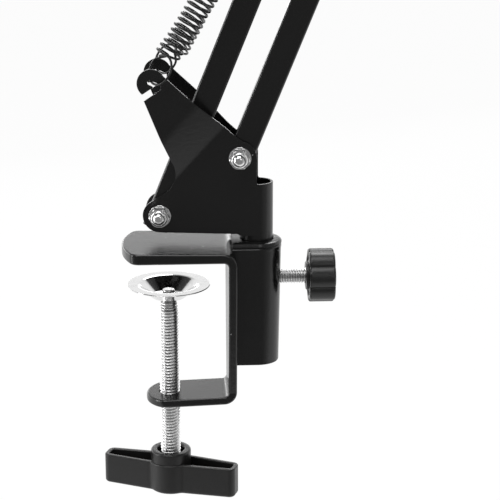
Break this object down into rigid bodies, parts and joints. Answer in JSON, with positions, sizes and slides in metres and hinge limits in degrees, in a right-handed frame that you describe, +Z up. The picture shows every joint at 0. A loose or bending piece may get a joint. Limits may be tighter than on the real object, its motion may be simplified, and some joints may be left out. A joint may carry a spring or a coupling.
{
  "type": "desk-clamp microphone stand",
  "caption": "Desk-clamp suspension arm for a microphone: C-clamp with swivel mast, two spring-balanced parallel arms and a tilting threaded stud.",
  "frame": {"origin": "underside of the clamp's upper jaw, on the clamp screw's axis", "axes": "+X away from the desk edge, from the jaw to the sleeve; +Y away from the camera; +Z up"},
  "size_m": [0.3363, 0.0565, 0.6722],
  "materials": {
    "black_paint": "semi-gloss black paint",
    "black_plastic": "fine moulded grain",
    "zinc_plate": "bright zinc plate",
    "chrome": "pressed and chromed",
    "spring_wire": "blackened wire"
  },
  "bodies": {
    "clamp": {"clamp_frame": "black_paint"},
    "pad": {"pressure_dish": "chrome"},
    "screw": {"clamp_screw": "zinc_plate", "clamp_handle": "black_plastic"},
    "lock_screw": {"lock_stud": "zinc_plate"},
    "knob": {"lock_knob": "black_plastic"},
    "mast": {"mast_bracket": "black_paint", "base_rear_bolt": "zinc_plate", "base_rear_nut": "zinc_plate", "base_rear_washer": "zinc_plate", "base_front_bolt": "zinc_plate", "base_front_nut": "zinc_plate", "base_front_washer": "zinc_plate"},
    "lower_arm": {"lower_rear_tube": "black_paint", "lower_spring_pin": "zinc_plate"},
    "lower_link": {"lower_front_tube": "black_paint"},
    "lower_springs": {"lower_spring_near": "spring_wire", "lower_spring_far": "spring_wire"},
    "lower_spring_ends": {"lower_spring_end_near": "spring_wire", "lower_spring_end_far": "spring_wire"},
    "elbow": {"elbow_plate_near": "black_paint", "elbow_plate_far": "black_paint", "elbow_rear_bolt": "zinc_plate", "elbow_rear_nut": "zinc_plate", "elbow_rear_washer": "zinc_plate", "elbow_front_bolt": "zinc_plate", "elbow_front_nut": "zinc_plate", "elbow_front_washer": "zinc_plate", "elbow_low_bolt": "zinc_plate", "elbow_low_nut": "zinc_plate", "elbow_low_washer": "zinc_plate", "elbow_top_bolt": "zinc_plate", "elbow_top_nut": "zinc_plate", "elbow_top_washer": "zinc_plate"},
    "upper_arm": {"upper_top_tube": "black_paint", "upper_spring_pin": "zinc_plate"},
    "upper_link": {"upper_low_tube": "black_paint"},
    "upper_springs": {"upper_spring_near": "spring_wire", "upper_spring_far": "spring_wire"},
    "upper_spring_ends": {"upper_spring_end_near": "spring_wire", "upper_spring_end_far": "spring_wire"},
    "head": {"head_plate_near": "black_paint", "head_plate_far": "black_paint", "tilt_bolt": "zinc_plate", "head_low_bolt": "zinc_plate", "head_low_nut": "zinc_plate", "head_low_washer": "zinc_plate", "head_top_bolt": "zinc_plate", "head_top_nut": "zinc_plate", "head_top_washer": "zinc_plate"},
    "tilt": {"tilt_block": "black_paint", "mic_stud": "zinc_plate"},
    "tilt_washer": {"tilt_washer": "zinc_plate"},
    "wing_nut": {"tilt_wing_nut": "black_paint"}
  },
  "joints": [
    {"name": "pad_slide", "type": "slide", "parent": "clamp", "child": "pad", "axis": [0, 0, 1], "range_m": [-0.03, 0.0115]},
    {"name": "screw_turn", "type": "hinge", "parent": "pad", "child": "screw", "pos_m": [0, 0, -0.06], "axis": [0, 0, 1], "range_deg": [-8660, 3330]},
    {"name": "lock_travel", "type": "slide", "parent": "clamp", "child": "lock_screw", "axis": [1, 0, 0], "range_m": [-0.0001, 0.0021]},
    {"name": "knob_turn", "type": "hinge", "parent": "lock_screw", "child": "knob", "pos_m": [0.05, 0, -0.0102], "axis": [1, 0, 0], "range_deg": [0, 720]},
    {"name": "mast_swivel", "type": "hinge", "parent": "clamp", "child": "mast", "pos_m": [0.0344, 0, 0], "axis": [0, 0, 1], "continuous": true},
    {"name": "lower_arm_lean", "type": "hinge", "parent": "mast", "child": "lower_arm", "pos_m": [-0.00221, 0.00372, 0.0154], "axis": [0.1011, 0.9949, 0], "range_deg": [-21.4, 15]},
    {"name": "lower_link_lean", "type": "hinge", "parent": "mast", "child": "lower_link", "pos_m": [0.02833, 0.00062, 0.0384], "axis": [0.1011, 0.9949, 0], "range_deg": [-21.4, 15]},
    {"name": "lower_spring_swing", "type": "hinge", "parent": "mast", "child": "lower_springs", "pos_m": [-0.0037, 0.00387, 0.0681], "axis": [0.1011, 0.9949, 0], "range_deg": [-29.4, 20.6]},
    {"name": "lower_spring_stretch", "type": "slide", "parent": "lower_springs", "child": "lower_spring_ends", "axis": [0.5311, -0.0539, 0.8456], "range_m": [-0.0093, 0.00655], "deforming": ["lower_spring_near", "lower_spring_far", "lower_spring_end_near", "lower_spring_end_far"]},
    {"name": "elbow_level", "type": "hinge", "parent": "lower_arm", "child": "elbow", "pos_m": [0.12078, -0.00877, 0.32137], "axis": [0.1011, 0.9949, 0], "range_deg": [-15, 21.4]},
    {"name": "upper_arm_lean", "type": "hinge", "parent": "elbow", "child": "upper_arm", "pos_m": [0.14913, -0.01165, 0.38717], "axis": [0.1011, 0.9949, 0], "range_deg": [-33, 32]},
    {"name": "upper_link_lean", "type": "hinge", "parent": "elbow", "child": "upper_link", "pos_m": [0.13789, -0.01051, 0.36597], "axis": [0.1011, 0.9949, 0], "range_deg": [-33, 32]},
    {"name": "upper_spring_swing", "type": "hinge", "parent": "elbow", "child": "upper_springs", "pos_m": [0.13271, -0.00999, 0.41577], "axis": [0.1011, 0.9949, 0], "range_deg": [-38.8, 37.6]},
    {"name": "upper_spring_stretch", "type": "slide", "parent": "upper_springs", "child": "upper_spring_ends", "axis": [-0.9305, 0.0945, 0.3538], "range_m": [-0.01098, 0.01132], "deforming": ["upper_spring_near", "upper_spring_far", "upper_spring_end_near", "upper_spring_end_far"]},
    {"name": "head_level", "type": "hinge", "parent": "upper_arm", "child": "head", "pos_m": [-0.14075, 0.01779, 0.5421], "axis": [0.1011, 0.9949, 0], "range_deg": [-32, 33]},
    {"name": "mic_tilt", "type": "hinge", "parent": "head", "child": "tilt", "pos_m": [-0.16463, 0.02022, 0.5381], "axis": [0.1011, 0.9949, 0], "range_deg": [-110, 30]},
    {"name": "tilt_nut_travel", "type": "slide", "parent": "head", "child": "tilt_washer", "axis": [-0.1011, -0.9949, 0], "range_m": [-0.0001, 0.0009]},
    {"name": "wing_nut_turn", "type": "hinge", "parent": "tilt_washer", "child": "wing_nut", "pos_m": [-0.16463, 0.02022, 0.5381], "axis": [-0.1011, -0.9949, 0], "range_deg": [0, 360]}
  ],
  "couplings": [
    {"joint": "screw_turn", "follows": "pad_slide", "rad_per_m": 5026.5},
    {"joint": "lock_travel", "follows": "knob_turn", "m_per_rad": 0.00015915},
    {"joint": "lower_link_lean", "follows": "lower_arm_lean", "ratio": 1},
    {"joint": "lower_spring_swing", "follows": "lower_arm_lean", "ratio": 1.37},
    {"joint": "lower_spring_stretch", "follows": "lower_arm_lean", "m_per_rad": 0.024637},
    {"joint": "elbow_level", "follows": "lower_arm_lean", "ratio": -1},
    {"joint": "upper_link_lean", "follows": "upper_arm_lean", "ratio": 1},
    {"joint": "upper_spring_swing", "follows": "upper_arm_lean", "ratio": 1.173},
    {"joint": "upper_spring_stretch", "follows": "upper_arm_lean", "m_per_rad": -0.019481},
    {"joint": "head_level", "follows": "upper_arm_lean", "ratio": -1},
    {"joint": "tilt_nut_travel", "follows": "wing_nut_turn", "m_per_rad": 0.00012732}
  ]
}
